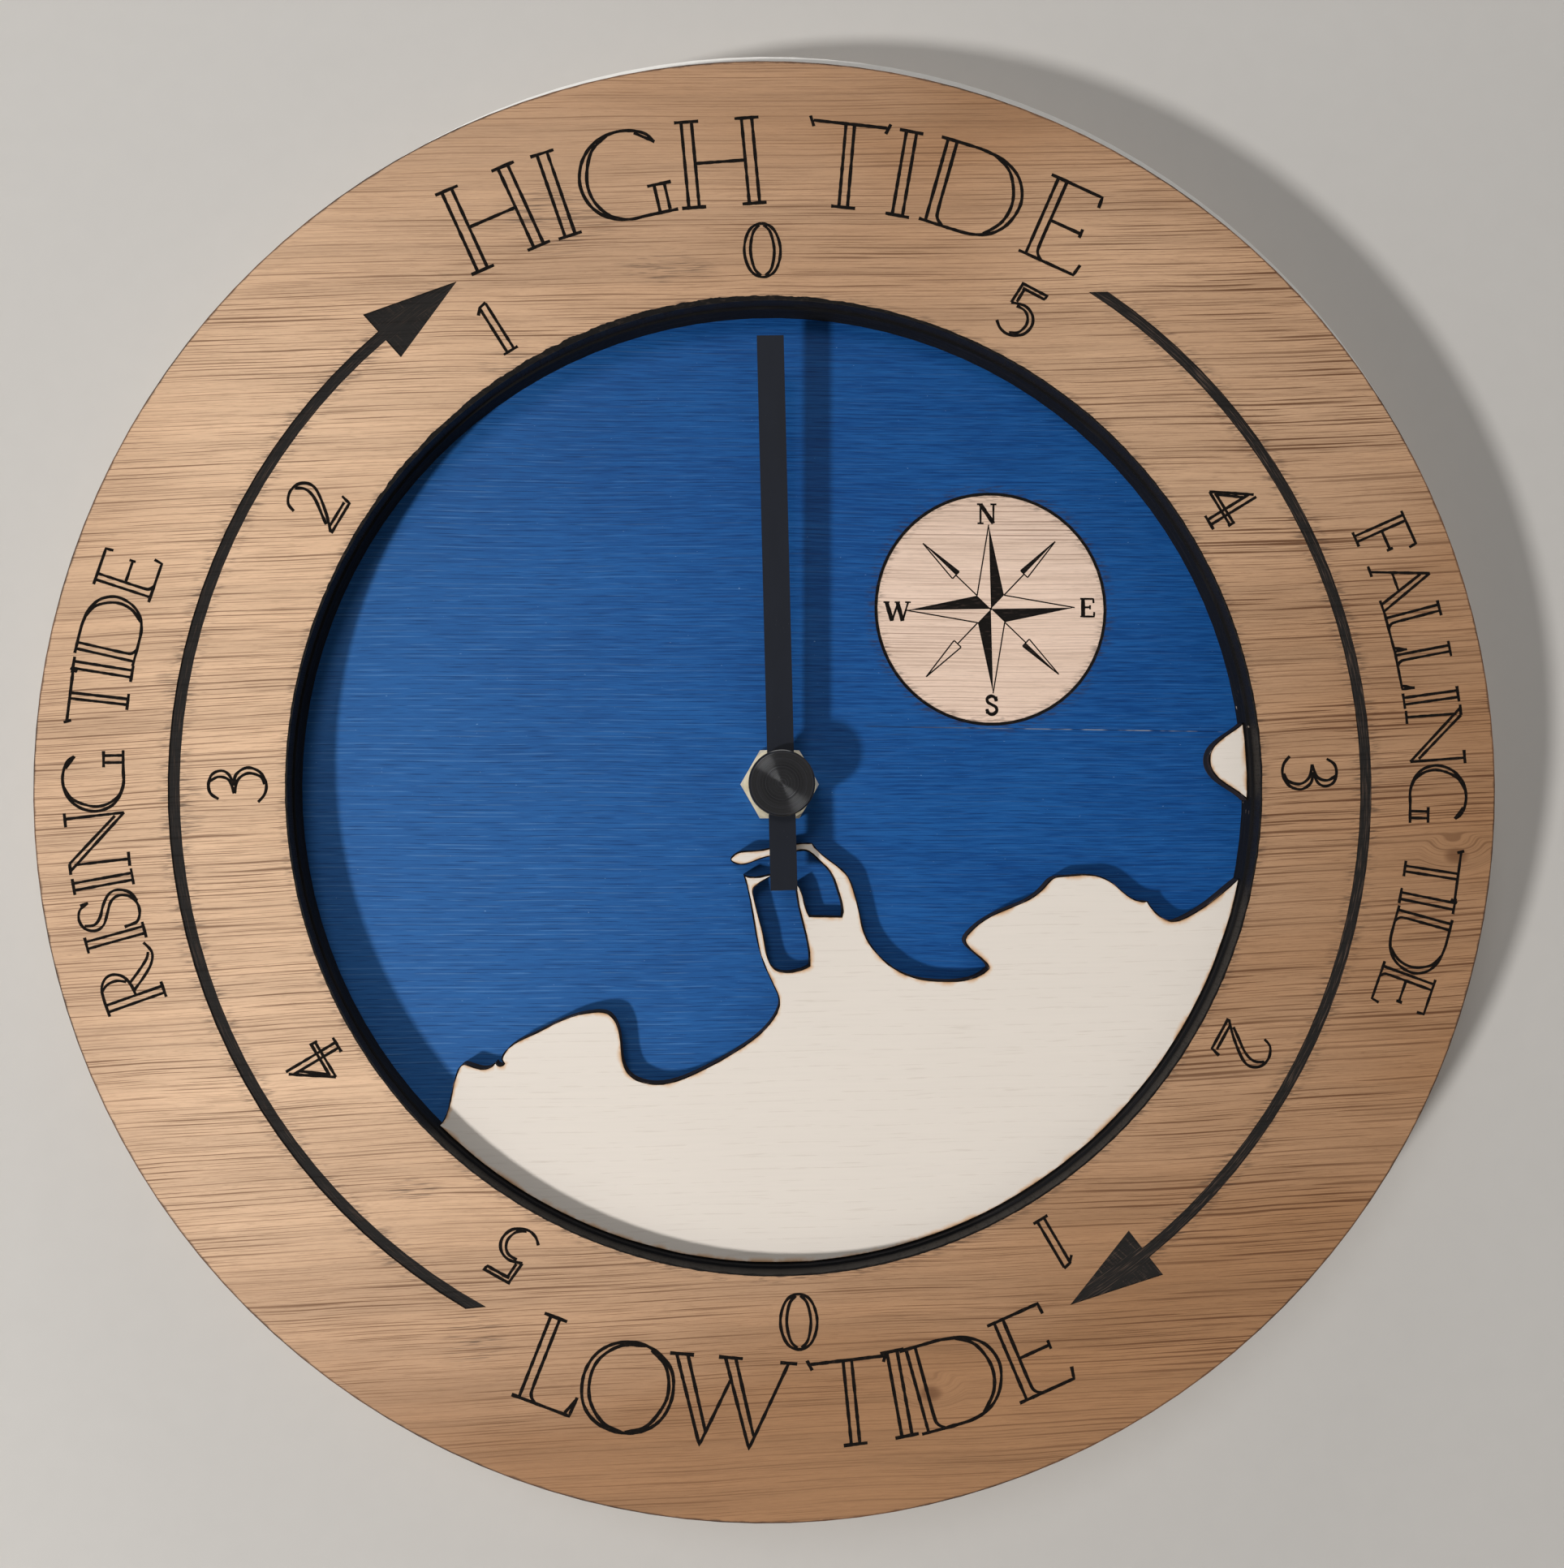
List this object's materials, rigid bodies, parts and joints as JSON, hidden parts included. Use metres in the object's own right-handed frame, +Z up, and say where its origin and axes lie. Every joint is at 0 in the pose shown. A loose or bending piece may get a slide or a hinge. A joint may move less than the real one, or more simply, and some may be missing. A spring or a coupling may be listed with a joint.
{
  "type": "wall tide clock",
  "caption": "Round wall tide clock: a wide engraved wooden ring over a recessed sea board with a cut-out coast, a straight hand and a battery movement behind.",
  "frame": {"origin": "on the wall plane, where the hand's axis meets it: the centre of the movement's back face", "axes": "+X right and +Z up as seen from the front, +Y into the wall; the dial faces -Y"},
  "size_m": [0.3007, 0.0346, 0.303],
  "materials": {
    "ring_wood": "straight-grained veneer, thin clear seal, laser engraved",
    "spacer_paint": "matte black paint inside the opening, white paint on the outer edge",
    "sea_paint": "brushed matte blue paint over fine grain, bare where engraved",
    "pale_wood": "pale washed wood with burnt laser-cut edges",
    "nut_brass": "pale, lightly oxidised",
    "zinc_steel": "bright zinc plate",
    "gasket_rubber": "matte",
    "bushing_brass": "turned",
    "case_plastic": "fine-grained moulding",
    "plate_plastic": "satin moulding",
    "wheel_plastic": "satin acetal",
    "hand_paint": "dark matte paint over thin stamped aluminium",
    "cap_black": "black, finely turned rings",
    "knob_plastic": "satin",
    "arbor_steel": "ground",
    "magnet_ferrite": "sintered, dull",
    "motor_iron": "stamped, annealed",
    "bobbin_plastic": "satin",
    "coil_copper": "enamelled copper wire, wound",
    "board_laminate": "paper laminate",
    "crystal_can": "drawn can",
    "chip_resin": "black resin drop",
    "contact_nickel": "nickel plate",
    "battery_jacket": "plain printed jacket with bright ends"
  },
  "bodies": {
    "clock_body": {"front_ring": "ring_wood", "spacer_ring": "spacer_paint", "sea_board": "sea_paint", "land_piece": "pale_wood", "islet_piece": "pale_wood", "hex_nut": "nut_brass", "bushing_washer": "zinc_steel", "rubber_gasket": "gasket_rubber", "hanger_bracket": "zinc_steel", "threaded_bushing": "bushing_brass", "movement_front_cover": "case_plastic", "movement_back_case": "case_plastic", "train_plate": "plate_plastic", "stator_plate": "motor_iron", "coil_core": "motor_iron", "coil_bobbin": "bobbin_plastic", "coil_winding": "coil_copper", "circuit_board": "board_laminate", "quartz_crystal": "crystal_can", "clock_chip": "chip_resin", "battery_contact_positive": "contact_nickel", "battery_contact_negative": "contact_nickel"},
    "tide_hand_body": {"tide_wheel": "wheel_plastic", "hand_collet": "bushing_brass", "tide_hand": "hand_paint", "hand_cap": "cap_black"},
    "setting_body": {"setting_wheel": "wheel_plastic", "setting_knob": "knob_plastic"},
    "cannon_body": {"cannon_pinion": "wheel_plastic"},
    "centre_body": {"centre_wheel": "wheel_plastic", "centre_arbor": "arbor_steel"},
    "third_body": {"third_wheel": "wheel_plastic"},
    "second_body": {"second_wheel": "wheel_plastic"},
    "fifth_body": {"fifth_wheel": "wheel_plastic"},
    "rotor_body": {"rotor_pinion": "wheel_plastic", "rotor_magnet": "magnet_ferrite"},
    "battery_body": {"battery": "battery_jacket"}
  },
  "joints": [
    {"name": "tide_hand_turn", "type": "hinge", "parent": "clock_body", "child": "tide_hand_body", "pos_m": [0, 0, 0], "axis": [0, 1, 0], "continuous": true},
    {"name": "setting_turn", "type": "hinge", "parent": "clock_body", "child": "setting_body", "pos_m": [0.0104, 0, 0], "axis": [0, 1, 0], "continuous": true},
    {"name": "cannon_turn", "type": "hinge", "parent": "clock_body", "child": "cannon_body", "pos_m": [0, 0, 0], "axis": [0, 1, 0], "continuous": true},
    {"name": "second_wheel_turn", "type": "hinge", "parent": "clock_body", "child": "second_body", "pos_m": [-0.00622, 0, 0.01103], "axis": [0, 1, 0], "continuous": true},
    {"name": "centre_wheel_turn", "type": "hinge", "parent": "clock_body", "child": "centre_body", "pos_m": [0, 0, 0], "axis": [0, 1, 0], "continuous": true},
    {"name": "third_wheel_turn", "type": "hinge", "parent": "clock_body", "child": "third_body", "pos_m": [-0.00816, 0, 0.0038], "axis": [0, 1, 0], "continuous": true},
    {"name": "fifth_wheel_turn", "type": "hinge", "parent": "clock_body", "child": "fifth_body", "pos_m": [0.00036, 0, 0.01342], "axis": [0, 1, 0], "continuous": true},
    {"name": "rotor_turn", "type": "hinge", "parent": "clock_body", "child": "rotor_body", "pos_m": [0.00603, 0, 0.01442], "axis": [0, 1, 0], "continuous": true},
    {"name": "battery_slide", "type": "slide", "parent": "clock_body", "child": "battery_body", "axis": [0, 1, 0], "range_m": [0, 0.02]}
  ],
  "couplings": [
    {"joint": "setting_turn", "follows": "tide_hand_turn", "ratio": -3.3333},
    {"joint": "cannon_turn", "follows": "tide_hand_turn", "ratio": 12.424},
    {"joint": "fifth_wheel_turn", "follows": "second_wheel_turn", "ratio": -6},
    {"joint": "rotor_turn", "follows": "second_wheel_turn", "ratio": 30},
    {"joint": "third_wheel_turn", "follows": "second_wheel_turn", "ratio": -0.13333},
    {"joint": "centre_wheel_turn", "follows": "second_wheel_turn", "ratio": 0.016667}
  ]
}
